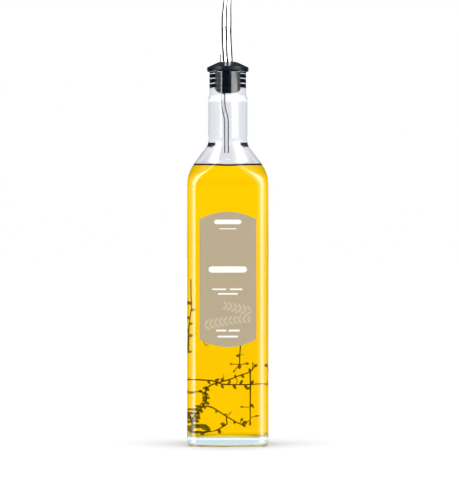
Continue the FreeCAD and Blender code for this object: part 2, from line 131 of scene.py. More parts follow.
# spout: radii at its root and tip, wall, bends, the height of its tip, and its slanted end
SPOUT = 3.55
SPOUT_TIP = 2.45
SPOUT_WALL = 0.9
SPOUT_LIP = 0.3
SPOUT_TAPER = 19.6
SPOUT_HEADING = math.radians(74)
ROOT_BEND = 17.6
LONG_BEND = 70.4
BACK_LEAN = math.radians(16)
CUT_ANGLE = math.radians(35)
# the solid's is 0.5 higher; this one keeps the slanted end inside the CAD model's box
TIP_HEIGHT = HEIGHT + 55.9
# vent tube: radius, wall, bends, its gap to the spout, and its places left of the axis and behind it
VENT = 1.75
VENT_WALL = 0.6
VENT_BEND = 20
TUBE_GAP = 0.2
VENT_SIDE, VENT_END_SIDE = 3.55, 0.95
VENT_BACK = math.sqrt((SPOUT + VENT + TUBE_GAP) ** 2 - VENT_SIDE ** 2)
VENT_END_BACK = 1.2
VENT_BEND_DROP = 5

QUARTER = math.pi / 2


# ------------------------------------------------------------------ helpers for shapes

def add_mesh(name, points, faces, material, sharp=35, replaces=()):
    """Adds a piece that rides on the bottle; edges sharper than that many degrees stay sharp."""
    mesh = bpy.data.meshes.new(name)
    mesh.from_pydata([(x * 0.001, y * 0.001, z * 0.001) for x, y, z in points], [], faces)
    mesh.validate()
    mesh.polygons.foreach_set("use_smooth", [True] * len(mesh.polygons))
    mesh.set_sharp_from_angle(angle=math.radians(sharp))
    mesh.update()
    mesh.materials.append(material)
    piece = bpy.data.objects.new(name, mesh)
    bpy.context.scene.collection.objects.link(piece)
    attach(piece, "root")
    if replaces:
        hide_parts(*replaces)


def even(first, last, steps):
    """Values from first to last in even steps."""
    return [first + (last - first) * i / steps for i in range(steps + 1)]


def full_turn(count):
    """Angles of count points evenly round a circle."""
    return [2 * math.pi * i / count for i in range(count)]


def bisect(low, high, is_past):
    """Value between low and high from which is_past is true."""
    for _ in range(40):
        middle = (low + high) / 2
        if is_past(middle):
            high = middle
        else:
            low = middle
    return (low + high) / 2


def strip_faces(rings, count, start=0, closed=False):
    """Faces between neighbouring rings of count points each; closed joins the last ring to the first."""
    faces = []
    for ring in range(rings if closed else rings - 1):
        here = start + ring * count
        ahead = start + (ring + 1) % rings * count
        for i in range(count):
            j = (i + 1) % count
            faces.append((here + i, here + j, ahead + j, ahead + i))
    return faces


def capped_faces(rings, count):
    """Faces of rings of count points each, with one point before the first ring and one after the last."""
    end = 1 + (rings - 1) * count
    faces = strip_faces(rings, count, start=1)
    for i in range(count):
        j = (i + 1) % count
        faces += [(0, 1 + j, 1 + i), (end + i, end + j, end + count)]
    return faces


def prism(outline, front, back):
    """Points and faces of an outline in x and z, pushed from y front to y back."""
    count = len(outline)
    points = [(x, front, z) for x, z in outline] + [(x, back, z) for x, z in outline]
    faces = [tuple(range(count)), tuple(range(2 * count - 1, count - 1, -1))]
    faces += [(i, i + count, (i + 1) % count + count, (i + 1) % count) for i in range(count)]
    return points, faces


def merge(parts):
    """Points and faces of several parts as those of one."""
    points, faces = [], []
    for some_points, some_faces in parts:
        start = len(points)
        points += some_points
        faces += [tuple(start + i for i in face) for face in some_faces]
    return points, faces


# ------------------------------------------------------------------ helpers for nodes

def join(tree, socket, value):
    """Gives a socket a value, or the output of another node."""
    if isinstance(value, bpy.types.NodeSocket):
        tree.links.new(value, socket)
    else:
        socket.default_value = value


def add_node(tree, kind, inputs=None, **settings):
    """Adds a shader node; inputs gives a value or an output for each socket's name or number."""
    node = tree.nodes.new("ShaderNode" + kind)
    for name, value in settings.items():
        setattr(node, name, value)
    for key, value in (inputs or {}).items():
        join(tree, node.inputs[key], value)
    return node


def calc(tree, operation, first, second=None):
    """Output of a math node on one or two values or outputs."""
    inputs = {0: first} if second is None else {0: first, 1: second}
    return add_node(tree, "Math", inputs, operation=operation).outputs[0]


def axes_of(tree, vector):
    """Outputs X, Y and Z of a vector output."""
    return add_node(tree, "SeparateXYZ", {0: vector}).outputs


def stops(tree, value, pairs):
    """Level along a value, straight between stops of (value, level)."""
    low, high = pairs[0][0], pairs[-1][0]
    place = add_node(tree, "MapRange", {"From Min": low, "From Max": high, "Value": value})
    made = add_node(tree, "ValToRGB", {0: place.outputs[0]})
    ramp = made.color_ramp.elements
    ramp.remove(ramp[1])
    for index, (at, level) in enumerate(pairs):
        spot = (at - low) / (high - low)
        point = ramp[0] if index == 0 else ramp.new(spot)
        point.position = spot
        point.color = (level, level, level, 1)
    return made.outputs[0]


def from_srgb(red, green, blue):
    """Linear colour, as shaders take it, of an sRGB one given from 0 to 255."""
    out = []
    for value in (red, green, blue):
        value /= 255
        out.append(value / 12.92 if value <= 0.04045 else ((value + 0.055) / 1.055) ** 2.4)
    return (*out, 1)


def new_material(name, **inputs):
    """Material and its shader, whose inputs are given by name with _ for each space."""
    material = bpy.data.materials.new(name)
    material.use_nodes = True
    shader = material.node_tree.nodes["Principled BSDF"]
    for socket, value in inputs.items():
        shader.inputs[socket.replace("_", " ")].default_value = value
    return material, shader


def absorb(material, color, density):
    """Fills the material's inside with an absorbing volume."""
    tree = material.node_tree
    volume = add_node(tree, "VolumeAbsorption", {"Color": (*color, 1), "Density": density})
    tree.links.new(volume.outputs["Volume"], tree.nodes["Material Output"].inputs["Volume"])


# ------------------------------------------------------------------ materials

WHITE = (1, 1, 1, 1)
OUTWARD_TINT = (0.05, 0.05, 0.05, 1)
# painted reflection for the vent tube: light base colour on faces that look front or back, dark on the left
# and right flanks
PAINTED_REFLECTION_STOPS = ((0.45, (0.9, 0.9, 0.93, 1)), (0.6, (0.09, 0.095, 0.11, 1)))
RUBBER_GLOSS = 0.1


def clear_glass():
    """Faintly green glass. It mirrors less on the way out, as oil and rubber wet most of its inner wall."""
    material, shader = new_material("clear_glass", Base_Color=WHITE, Roughness=0.0, IOR=1.5,
                                    Transmission_Weight=1.0)
    absorb(material, color=(0.4, 0.9, 0.88), density=7)
    tree = material.node_tree
    outward = add_node(tree, "NewGeometry").outputs["Backfacing"]
    tint = add_node(tree, "MixRGB", {0: outward, 1: WHITE, 2: OUTWARD_TINT})
    tree.links.new(tint.outputs[0], shader.inputs["Specular Tint"])
    return material


def yellow_oil():
    """Oil without a mirror of its own, as oil and glass are so alike that nothing mirrors between them."""
    material, _ = new_material("yellow_oil", Base_Color=WHITE, Roughness=0.0, IOR=1.47,
                               Transmission_Weight=1.0, Specular_Tint=(0, 0, 0, 1))
    absorb(material, color=(1.0, 0.948, 0.0), density=200)
    return material


def vent_steel():
    """Steel with a painted reflection: its base colour is light where it faces front or back and dark on its
    left and right flanks, standing in for the dim sides of a room that thin tubes mirror.
    """
    material, shader = new_material("vent_steel", Roughness=0.12, Metallic=1.0)
    tree = material.node_tree
    normal = axes_of(tree, add_node(tree, "NewGeometry").outputs["Normal"])
    # painted reflection: the ramp turns the normal's sideways part into a light or a dark base colour
    painted_reflection_ramp = add_node(tree, "ValToRGB", {0: calc(tree, "ABSOLUTE", normal["X"])})
    for point, (spot, color) in zip(painted_reflection_ramp.color_ramp.elements, PAINTED_REFLECTION_STOPS):
        point.position = spot
        point.color = color
    tree.links.new(painted_reflection_ramp.outputs[0], shader.inputs["Base Color"])
    return material


def black_rubber():
    """Rubber that shines above the glass only, as it has no gloss where it is pressed against the bore."""
    material, shader = new_material("black_rubber", Base_Color=(0.008, 0.015, 0.023, 1), Roughness=0.2)
    tree = material.node_tree
    place = axes_of(tree, add_node(tree, "TexCoord").outputs["Object"])
    above = calc(tree, "GREATER_THAN", place["Z"], HEIGHT / 1000)
    tree.links.new(calc(tree, "MULTIPLY", above, RUBBER_GLOSS), shader.inputs["Specular IOR Level"])
    return material


def plain(name, color, roughness, metallic=0.0):
    """Material of one colour."""
    return new_material(name, Base_Color=color, Roughness=roughness, Metallic=metallic)[0]


# ------------------------------------------------------------------ rings of the glass and the oil

PANEL_STEPS, CORNER_STEPS = 28, 16
# heights of rings on straight stretches, closer below the shoulder to keep its shading off the sides
SIDE_RINGS = (20, 50, 80, 110, 140, 160, 172, 178, 181, 182.2)
NECK_RINGS = (220, 228, 236, 242)
BORE_RINGS = (224, 232, 240, 248, 256)
# close rings also keep the shading of the rounded mouth off the finish
FINISH_STEPS = 46
SHOULDER_STEPS = 26
MENISCUS_STEPS = 14


def ring_angles():
    """Angles of a ring's points, which are closer together at the body's corners."""
    edge = math.atan2(FLAT, HALF)
    angles = []
    for side in range(4):
        start = side * QUARTER
        angles += even(start - edge, start + edge, PANEL_STEPS)[:-1]
        angles += even(start + edge, start + QUARTER - edge, CORNER_STEPS)[:-1]
    return angles


ANGLES = ring_angles()


def reach(angle, half, flat):
    """Distance from the axis to a rounded square of that half-width and half-flat."""
    less, more = sorted((abs(math.cos(angle)), abs(math.sin(angle))))
    if half * less / more <= flat:
        return half / more
    corner = half - flat
    along = flat * (less + more)
    return along + math.sqrt(max(along * along - 2 * flat * flat + corner * corner, 0))


def ring_points(rings):
    """Points of rings that are given as (height, half-width, half-flat)."""
    points = []
    for height, half, flat in rings:
        for angle in ANGLES:
            radius = reach(angle, half, flat)
            points.append((radius * math.cos(angle), radius * math.sin(angle), height))
    return points


def lathe(rings, first, last):
    """Closed skin through the rings, with middle points at the heights first and last."""
    return [(0, 0, first)] + ring_points(rings) + [(0, 0, last)], capped_faces(len(rings), len(ANGLES))


def shoulder(inset, up_to=None):
    """Rings from the shoulder's foot to its cone, or up to a height; inset moves them in from the outside.

    They lie on a cubic curve with weights, which is exact for the arc and blends the flats away.
    """
    half = HALF - inset
    radius = SHOULDER_RADIUS - inset
    middle = math.cos(TURN / 2)
    inner_weight = (1 + 2 * middle) / 3
    weights = (1, inner_weight, inner_weight, 1)

    def poles(first, knee, last):
        near_first = (first + 2 * middle * knee) / (1 + 2 * middle)
        near_last = (last + 2 * middle * knee) / (1 + 2 * middle)
        return first, near_first, near_last, last

    heights = poles(SHOULDER_START, SHOULDER_START + radius * math.tan(TURN / 2),
                    SHOULDER_START + radius * math.sin(TURN))
    halves = poles(half, half, half - radius * (1 - math.cos(TURN)))
    flats = (FLAT, FLAT, 0, 0)

    def at(share):
        rest = 1 - share
        basis = (rest ** 3, 3 * share * rest ** 2, 3 * share ** 2 * rest, share ** 3)
        parts = [weight * value for weight, value in zip(weights, basis)]
        return tuple(sum(part * pole for part, pole in zip(parts, line)) / sum(parts)
                     for line in (heights, halves, flats))

    last = 1.0
    if up_to is not None:
        last = bisect(0.0, 1.0, lambda share: at(share)[0] >= up_to)
    return [at(share) for share in even(0, last, SHOULDER_STEPS)]


def root_rings(base, radius, fillet, steps):
    """Rings of the round between a cone and a tube of that radius, which would meet at height base."""
    middle = base + fillet * math.tan(TURN / 2)
    return [(middle - fillet * math.sin(turn), radius + fillet * (1 - math.cos(turn)), 0)
            for turn in even(TURN, 0, steps)]


def edge_rings(low, radius, edge, steps):
    """Rings of a rounded upper edge on a tube, from height low."""
    return [(low + edge * math.sin(turn), radius - edge * (1 - math.cos(turn)), 0)
            for turn in even(0, QUARTER, steps)]


def outer_rings():
    """Rings of the outside, from the hollow under the base to the mouth."""
    rings = [(PUNT_DEPTH, PUNT_RADIUS - 2 * PUNT_DEPTH, 0), (0, PUNT_RADIUS, 0)]
    rings += [(HEEL * (1 - math.cos(turn)), HALF - HEEL * (1 - math.sin(turn)), FLAT)
              for turn in even(0, QUARTER, steps=7)]
    rings += [(height, HALF, FLAT) for height in SIDE_RINGS]
    rings += shoulder(0)
    rings += root_rings(NECK_BASE, NECK, NECK_ROOT, steps=6)
    rings += [(height, NECK, 0) for height in NECK_RINGS]
    finish_low, finish_high = HEIGHT - FINISH_LENGTH, HEIGHT - MOUTH_ROUND
    rings += edge_rings(finish_low - FINISH_STEP, NECK, NECK_EDGE, steps=4)
    rings.append((finish_low - FINISH_FOOT_DEPTH, FINISH + FINISH_FOOT, 0))
    rings += [(height, FINISH, 0) for height in even(finish_low, finish_high, FINISH_STEPS)]
    return rings + edge_rings(finish_high, FINISH, MOUTH_ROUND, steps=5)[1:]


def cavity_rings(grow=0.0, up_to=None):
    """Rings of the cavity from its floor to its cone, or up to a height; grow moves them into the wall."""
    inset = WALL - grow
    half = HALF - inset
    rings = []
    for turn in even(0, QUARTER, steps=8):
        edge = half - INNER_HEEL * (1 - math.sin(turn))
        rings.append((BASE - grow + INNER_HEEL * (1 - math.cos(turn)), edge, min(FLAT, edge - LEAST_CORNER)))
    rings += [(height, half, FLAT) for height in SIDE_RINGS]
    return rings + shoulder(inset, up_to)


def bore_rings():
    """Rings from the cavity's cone up the bore to the bevelled mouth."""
    rings = root_rings(BORE_BASE, BORE, BORE_ROOT, steps=8)
    rings += [(height, BORE, 0) for height in BORE_RINGS]
    return rings + [(HEIGHT - MOUTH_BEVEL, BORE, 0), (HEIGHT, BORE + MOUTH_BEVEL, 0)]


def add_glass():
    """Outside and inside as one skin, which turns in at the mouth."""
    rings = outer_rings() + (cavity_rings() + bore_rings())[::-1]
    points, faces = lathe(rings, PUNT_DEPTH, BASE)
    add_mesh("glass", points, faces, clear_glass(), replaces=["glass_bottle"])


def add_oil():
    """Oil up to its level, with a surface that curves up to the wall."""
    rings = cavity_rings(OIL_INTO_WALL, OIL_LEVEL)
    _, rim_half, rim_flat = rings[-1]
    least = math.exp(-MENISCUS_WIDTH / MENISCUS_FADE)
    for share in even(0, 1, MENISCUS_STEPS)[1:]:
        away = MENISCUS_WIDTH * share ** 1.8
        rise = math.exp(-away / MENISCUS_FADE) - least * share
        half = rim_half - away
        rings.append((OIL_LEVEL - MENISCUS * (1 - rise), half, min(rim_flat, half - LEAST_CORNER)))
    points, faces = lathe(rings, BASE - OIL_INTO_WALL, OIL_LEVEL - MENISCUS)
    add_mesh("oil_fill", points, faces, yellow_oil(), replaces=["oil"])


def add_oil_line_painted_shade():
    """Painted shade: a near-black ring at the oil's edge, standing in for the dark line that the oil's
    surface shows against the wall.
    """
    low, high = OIL_LEVEL - 1.2, OIL_LEVEL - 0.05
    # the ring reaches into the wall, and stands a little proud of it
    outer, inner = 0.3, -0.15
    corners = ((outer, low), (outer, high), (inner, high), (inner, low))
    rings = [cavity_rings(grow, height)[-1] for grow, height in corners]
    # painted shade: near-black brown for the dark line along the oil's edge
    material = plain("oil_line_painted_shade", from_srgb(14, 9, 2), 0.5)
    faces = strip_faces(len(rings), len(ANGLES), closed=True)
    add_mesh("oil_line_painted_shade", ring_points(rings), faces, material)


# ------------------------------------------------------------------ label

def add_label_paper():
    """Paper with a crowned top and bottom edge."""
    bow = (LABEL_HALF ** 2 + LABEL_CROWN ** 2) / (2 * LABEL_CROWN)

    def crown(x):
        return math.sqrt(bow * bow - x * x) - (bow - LABEL_CROWN)

    across = even(-LABEL_HALF, LABEL_HALF, steps=40)
    outline = [(x, LABEL_BOTTOM - crown(x)) for x in across]
    outline += [(x, LABEL_TOP + crown(x)) for x in reversed(across)]
    points, faces = prism(outline, PAPER_FRONT, PAPER_BACK)
    material = plain("label_paper", from_srgb(172, 157, 129), 0.75)
    add_mesh("label_paper", points, faces, material, replaces=["front_label"])


def bar(x, z, width, height):
    """Bar with round ends about a middle."""
    radius = height / 2
    outline = []
    for middle, first in ((x + width / 2 - radius, -QUARTER), (x - width / 2 + radius, QUARTER)):
        outline += [(middle + radius * math.cos(turn), z + radius * math.sin(turn))
                    for turn in even(first, first + math.pi, steps=6)]
    return prism(outline, PRINT_FRONT, PRINT_BACK)


# plain bars and rules in place of each line of text: middle x and z, width, height
BARS = ((0, 157, 19, 3.2), (0, 152.2, 12, 0.7), (0, 123.8, 27, 4.4), (-6, 110, 10, 1.1), (5.8, 110, 9, 1.1),
        (0, 106.8, 14, 1.1), (-4.6, 81.2, 7.4, 1.3), (4.4, 81.2, 8.0, 1.3), (0, 77.0, 14.5, 1.3))


def add_label_bars():
    """All bars as one piece."""
    points, faces = merge([bar(*place) for place in BARS])
    material = plain("label_print_light", from_srgb(243, 241, 237), 0.7)
    add_mesh("label_bars", points, faces, material)


def blade(x, z, heading, length, width, front):
    """Pointed printed leaf from its foot, with a heading in degrees."""
    run_x, run_z = math.cos(math.radians(heading)), math.sin(math.radians(heading))
    left, right = [], []
    for share in even(0, 1, steps=12)[1:-1]:
        side = width / 2 * math.sin(math.pi * share ** 0.85)
        middle_x, middle_z = x + run_x * length * share, z + run_z * length * share
        left.append((middle_x - run_z * side, middle_z + run_x * side))
        right.append((middle_x + run_z * side, middle_z - run_x * side))
    outline = [(x, z)] + right + [(x + run_x * length, z + run_z * length)] + left[::-1]
    return prism(outline, front, PRINT_BACK)


# two slender sprigs, one above the other: foot x and z, side that it runs to, and rise
MOTIF = ((-16.5, 84.5, 1, 4.5), (16.5, 94.0, -1, 5.5))
MOTIF_LENGTH, MOTIF_PAIRS, MOTIF_SPREAD = 30, 10, 42
MOTIF_LEAF, MOTIF_LEAF_SHRINK, MOTIF_LEAF_WIDTH = 6.2, 2.6, 1.7
# each leaf lies that much deeper than the one before, so that none flickers where they cross
LEAF_LEVEL = 0.0008


def add_label_leaves():
    """Generic leaves in pairs along the two sprigs."""
    blades = []
    for foot_x, foot_z, side, rise in MOTIF:
        for share in even(0, 1, MOTIF_PAIRS - 1):
            x = foot_x + side * MOTIF_LENGTH * share
            z = foot_z + rise * math.sin(QUARTER * share)
            slope = math.degrees(math.atan2(rise * QUARTER * math.cos(QUARTER * share), MOTIF_LENGTH))
            heading = slope if side > 0 else 180 - slope
            length = MOTIF_LEAF - MOTIF_LEAF_SHRINK * share
            for spread in (-MOTIF_SPREAD, MOTIF_SPREAD):
                front = PRINT_FRONT + LEAF_LEVEL * len(blades)
                blades.append(blade(x, z, heading + spread, length, MOTIF_LEAF_WIDTH, front))
    points, faces = merge(blades)
    material = plain("label_print_leaf", from_srgb(190, 176, 148), 0.7)
    add_mesh("label_leaves", points, faces, material)


# ------------------------------------------------------------------ tubes

# stations at a tube's end over which its rings turn from square to the slanted cut, and rings there
CUT_STATIONS, CUT_STEPS = 24, 20


def tube(route, wall, around, cut=None):
    """Hollow tube along a route of stations (across, height, lean, radius) in an upright plane.

    cut gives the line (across, height, slope) that the end is sliced along.
    """

    def spot(place, turn, inset):
        """Point of the skin at a place along the route, counted in stations."""
        station = min(int(place), len(route) - 2)
        share = place - station
        x, z, lean, radius = [here + (ahead - here) * share
                              for here, ahead in zip(route[station], route[station + 1])]
        out = (radius - inset) * math.cos(turn)
        return x + out * math.cos(lean), (radius - inset) * math.sin(turn), z - out * math.sin(lean)

    def end_of(turn, inset):
        """Place at which a line along the skin ends."""
        if cut is None:
            return len(route) - 1
        cut_x, cut_z, slope = cut

        def is_past(place):
            x, _, z = spot(place, turn, inset)
            return (x - cut_x) * math.cos(slope) - (z - cut_z) * math.sin(slope) > 0

        return bisect(square_to, len(route) - 1, is_past)

    square_to = len(route) - 1 - (CUT_STATIONS if cut else 1)
    steps = CUT_STEPS if cut else 1
    turns = full_turn(around)
    rings = []
    for inset in (0, wall):
        skin = [[spot(place, turn, inset) for turn in turns] for place in range(square_to + 1)]
        ends = [end_of(turn, inset) for turn in turns]
        for share in even(0, 1, steps)[1:]:
            skin.append([spot(square_to + (end - square_to) * share, turn, inset)
                         for end, turn in zip(ends, turns)])
        rings += skin[::-1] if inset else skin
    return [point for ring in rings for point in ring], strip_faces(len(rings), around, closed=True)


def placed(points, origin, heading):
    """Points turned from the plane of x and z to a heading and moved to an origin."""
    turn = Matrix.Rotation(heading, 3, "Z")
    return [tuple(turn @ Vector(point) + Vector(origin)) for point in points]


def arc(route, bend, lean_end, steps, radius_end=None):
    """Carries the route on along an arc of that bend radius to a new lean."""
    x, z, lean, radius = route[-1]
    side = bend if lean_end > lean else -bend
    out = []
    for share in even(0, 1, steps)[1:]:
        now = lean + (lean_end - lean) * share
        thick = radius if radius_end is None else radius + (radius_end - radius) * share
        out.append((x + side * (math.cos(lean) - math.cos(now)), z + side * (math.sin(now) - math.sin(lean)),
                    now, thick))
    return route + out


def add_spout():
    """Tapered spout that leans back, bends forward and ends in a slanted opening."""
    bend_low = DOME_TOP + ROOT_BEND * math.sin(BACK_LEAN)

    def lean_at(height):
        return math.asin((height - bend_low) / LONG_BEND - math.sin(BACK_LEAN))

    route = [(0, PLUG_BOTTOM, 0, SPOUT), (0, DOME_TOP, 0, SPOUT)]
    route = arc(route, ROOT_BEND, -BACK_LEAN, steps=14)
    route = arc(route, LONG_BEND, lean_at(TIP_HEIGHT - SPOUT_TAPER), steps=34)
    route = arc(route, LONG_BEND, lean_at(TIP_HEIGHT), steps=36, radius_end=SPOUT_TIP)
    x, z, lean, radius = route[-1]
    cut = (x - radius * math.cos(lean) + SPOUT_LIP, z + radius * math.sin(lean), lean - CUT_ANGLE)
    # a little straight tube beyond the tip, for the slanted cut to end in
    spare = 1.5
    route.append((x + spare * math.sin(lean), z + spare * math.cos(lean), lean, radius))
    points, faces = tube(route, SPOUT_WALL, around=64, cut=cut)
    material = plain("spout_steel", (0.93, 0.93, 0.95, 1), 0.025, metallic=1.0)
    add_mesh("pouring_spout", placed(points, (0, 0, 0), SPOUT_HEADING), faces, material,
             replaces=["spout"])


def add_vent():
    """Air tube that runs down beside the spout and steps in towards the axis below the plug."""
    step_x, step_y = VENT_SIDE - VENT_END_SIDE, VENT_END_BACK - VENT_BACK
    offset = math.hypot(step_x, step_y)
    lean = math.acos(1 - offset / (2 * VENT_BEND))
    bend_top = PLUG_BOTTOM - VENT_BEND_DROP
    bend_low = bend_top - 2 * VENT_BEND * math.sin(lean)
    route = [(0, vent_high[2], 0, VENT), (0, bend_top, 0, VENT)]
    for now in even(0, lean, steps=10)[1:]:
        across, fall = VENT_BEND * (1 - math.cos(now)), VENT_BEND * math.sin(now)
        route.append((across, bend_top - fall, -now, VENT))
    for now in even(lean, 0, steps=10)[1:]:
        across, fall = VENT_BEND * (1 - math.cos(now)), VENT_BEND * math.sin(now)
        route.append((offset - across, bend_low + fall, -now, VENT))
    route.append((offset, vent_low[2], 0, VENT))
    points, faces = tube(route[::-1], VENT_WALL, around=40)
    points = placed(points, (-VENT_SIDE, VENT_BACK, 0), math.atan2(step_y, step_x))
    add_mesh("vent", points, faces, vent_steel(), replaces=["vent_tube"])


# ------------------------------------------------------------------ stopper

def plug_profile():
    """Rows (radius, height) of the plug: a rounded end, then fins with shallow grooves between them."""
    rows = [(radius, PLUG_BOTTOM + rise) for radius, rise in PLUG_END]
    groove = PRESSED - GROOVE
    for fin in reversed(range(FIN_COUNT)):
        upper = HEIGHT - FIRST_FIN_DROP - FIN_PITCH * fin
        if fin < FIN_COUNT - 1:
            lower = upper - FIN_HEIGHT
            rows += [(groove, lower - FIN_BEVEL), (PRESSED, lower)]
        rows += [(PRESSED, upper), (groove, upper + FIN_BEVEL)]
    low, high = HEIGHT - COLLAR_LOW, HEIGHT - COLLAR_HIGH
    rows += [(groove, low - COLLAR_BEVEL), (PRESSED, low), (PRESSED, high)]
    return rows + [(PRESSED - UNDERCUT, high + COLLAR_BEVEL), (PRESSED - UNDERCUT, HEIGHT)]


def dome_profile():
    """Rows (radius, height) of the dome: the flange's underside, its rim, a cone and a rounded crown."""
    rows = [(FLANGE - FLANGE_EDGE, HEIGHT), (FLANGE, HEIGHT + FLANGE_EDGE)]
    cone = math.atan2(DOME_TOP - HEIGHT - RIM, FLANGE - CROWN)
    rim_low = HEIGHT + RIM - RIM_ROUND * math.tan((QUARTER - cone) / 2)
    rows += [(FLANGE - RIM_ROUND * (1 - math.cos(turn)), rim_low + RIM_ROUND * math.sin(turn))
             for turn in even(0, QUARTER - cone, steps=5)]
    crown_middle = CROWN - CROWN_ROUND * math.tan(cone / 2)
    rows += [(crown_middle + CROWN_ROUND * math.sin(turn), DOME_TOP - CROWN_ROUND * (1 - math.cos(turn)))
             for turn in even(cone, 0, steps=7)]
    return rows + [(0, DOME_TOP)]


def add_stopper():
    """Plug and dome as one turned solid."""
    rows = plug_profile() + dome_profile()
    turns = full_turn(96)
    points = [(0, 0, rows[0][1])]
    for radius, height in rows[1:-1]:
        points += [(radius * math.cos(turn), radius * math.sin(turn), height) for turn in turns]
    points.append((0, 0, rows[-1][1]))
    faces = capped_faces(len(rows) - 2, len(turns))
    add_mesh("rubber_stopper", points, faces, black_rubber(), replaces=["stopper"])


# ------------------------------------------------------------------ herb sprigs in the oil

def curved(points, steps=5):
    """Smooth line through the points."""
    out = []
    ends = [Vector(point) for point in [points[0]] + points + [points[-1]]]
    for before, here, ahead, after in zip(ends, ends[1:], ends[2:], ends[3:]):
        for i in range(steps):
            share = i / steps
            out.append(0.5 * (2 * here + (ahead - before) * share
                              + (2 * before - 5 * here + 4 * ahead - after) * share * share
                              + (3 * here - before - 3 * ahead + after) * share ** 3))
    return out + [ends[-1]]


def stalk(points, first, last, around=8):
    """Round stem through the points, whose radius goes from first to last."""
    line = curved(points)
    circle = [(math.cos(turn), math.sin(turn)) for turn in full_turn(around)]
    out = []
    for row, (middle, radius) in enumerate(zip(line, even(first, last, len(line) - 1))):
        along = (line[min(row + 1, len(line) - 1)] - line[max(row - 1, 0)]).normalized()
        side = along.cross(Vector((0, 1, 0)))
        if side.length < 0.1:
            side = along.cross(Vector((1, 0, 0)))
        side.normalize()
        up = along.cross(side)
        out += [tuple(middle + side * radius * across + up * radius * rise) for across, rise in circle]
    end = len(out) - around
    caps = [tuple(range(around - 1, -1, -1)), tuple(range(end, len(out)))]
    return out, strip_faces(len(line), around) + caps


LEAF_ROWS, LEAF_THICK, LEAF_BOW = 8, 0.16, 0.09
# what chance gives a leaf: its smallest and largest size, how far it strays in degrees, and how far it rolls
LEAF_SMALLEST, LEAF_LARGEST, LEAF_STRAY, LEAF_ROLL = 0.75, 1.1, 14, 0.6
STEM_TAPER = 0.75


def herb_leaf(foot, heading, length, width, turn):
    """Small closed leaf; heading is in the upright plane and turn rolls it about its own length."""
    along = Vector((math.cos(heading), 0, math.sin(heading)))
    side = Vector((-math.sin(heading), 0, math.cos(heading)))
    face = along.cross(side).normalized()
    side, face = side * math.cos(turn) + face * math.sin(turn), face * math.cos(turn) - side * math.sin(turn)
    out = [tuple(foot)]
    for share in even(0, 1, LEAF_ROWS)[1:-1]:
        half = width / 2 * math.sin(math.pi * share ** 0.8) ** 0.8
        thick = LEAF_THICK * math.sin(math.pi * share)
        middle = foot + along * length * share + face * (LEAF_BOW * length * share * share)
        out += [tuple(middle + off) for off in (side * half, face * thick, -side * half, -face * thick)]
    out.append(tuple(foot + along * length + face * (LEAF_BOW * length)))
    return out, capped_faces(LEAF_ROWS - 1, 4)


def leaves_along(points, spacing, length, width, spread, bare):
    """Leaves on alternate sides of a stem, turned off its run by spread degrees, and one at its tip."""
    line = curved(points)
    made = []
    gone = -bare
    side = 1
    for here, ahead in zip(line, line[1:]):
        run = ahead - here
        heading = math.atan2(run.z, run.x)
        gone += run.length
        if gone >= spacing:
            gone -= spacing
            side = -side
            size = random.uniform(LEAF_SMALLEST, LEAF_LARGEST)
            off = math.radians(side * spread + random.uniform(-LEAF_STRAY, LEAF_STRAY))
            roll = random.uniform(-LEAF_ROLL, LEAF_ROLL)
            made.append(herb_leaf(here, heading + off, length * size, width * size, roll))
    made.append(herb_leaf(line[-1], heading, length, width, LEAF_ROLL / 2))
    return made


def kept_in(point, space=0.3):
    """Moves a point past the cavity's walls, floor or heel back inside them, so that leaves bend there."""
    half = HALF - WALL - space
    x, y = (max(-half, min(half, value)) for value in point[:2])
    into_heel = max(0, max(abs(x), abs(y)) - (HALF - WALL - INNER_HEEL))
    floor = BASE + INNER_HEEL - math.sqrt(INNER_HEEL ** 2 - into_heel ** 2)
    return x, y, max(point[2], floor + space)


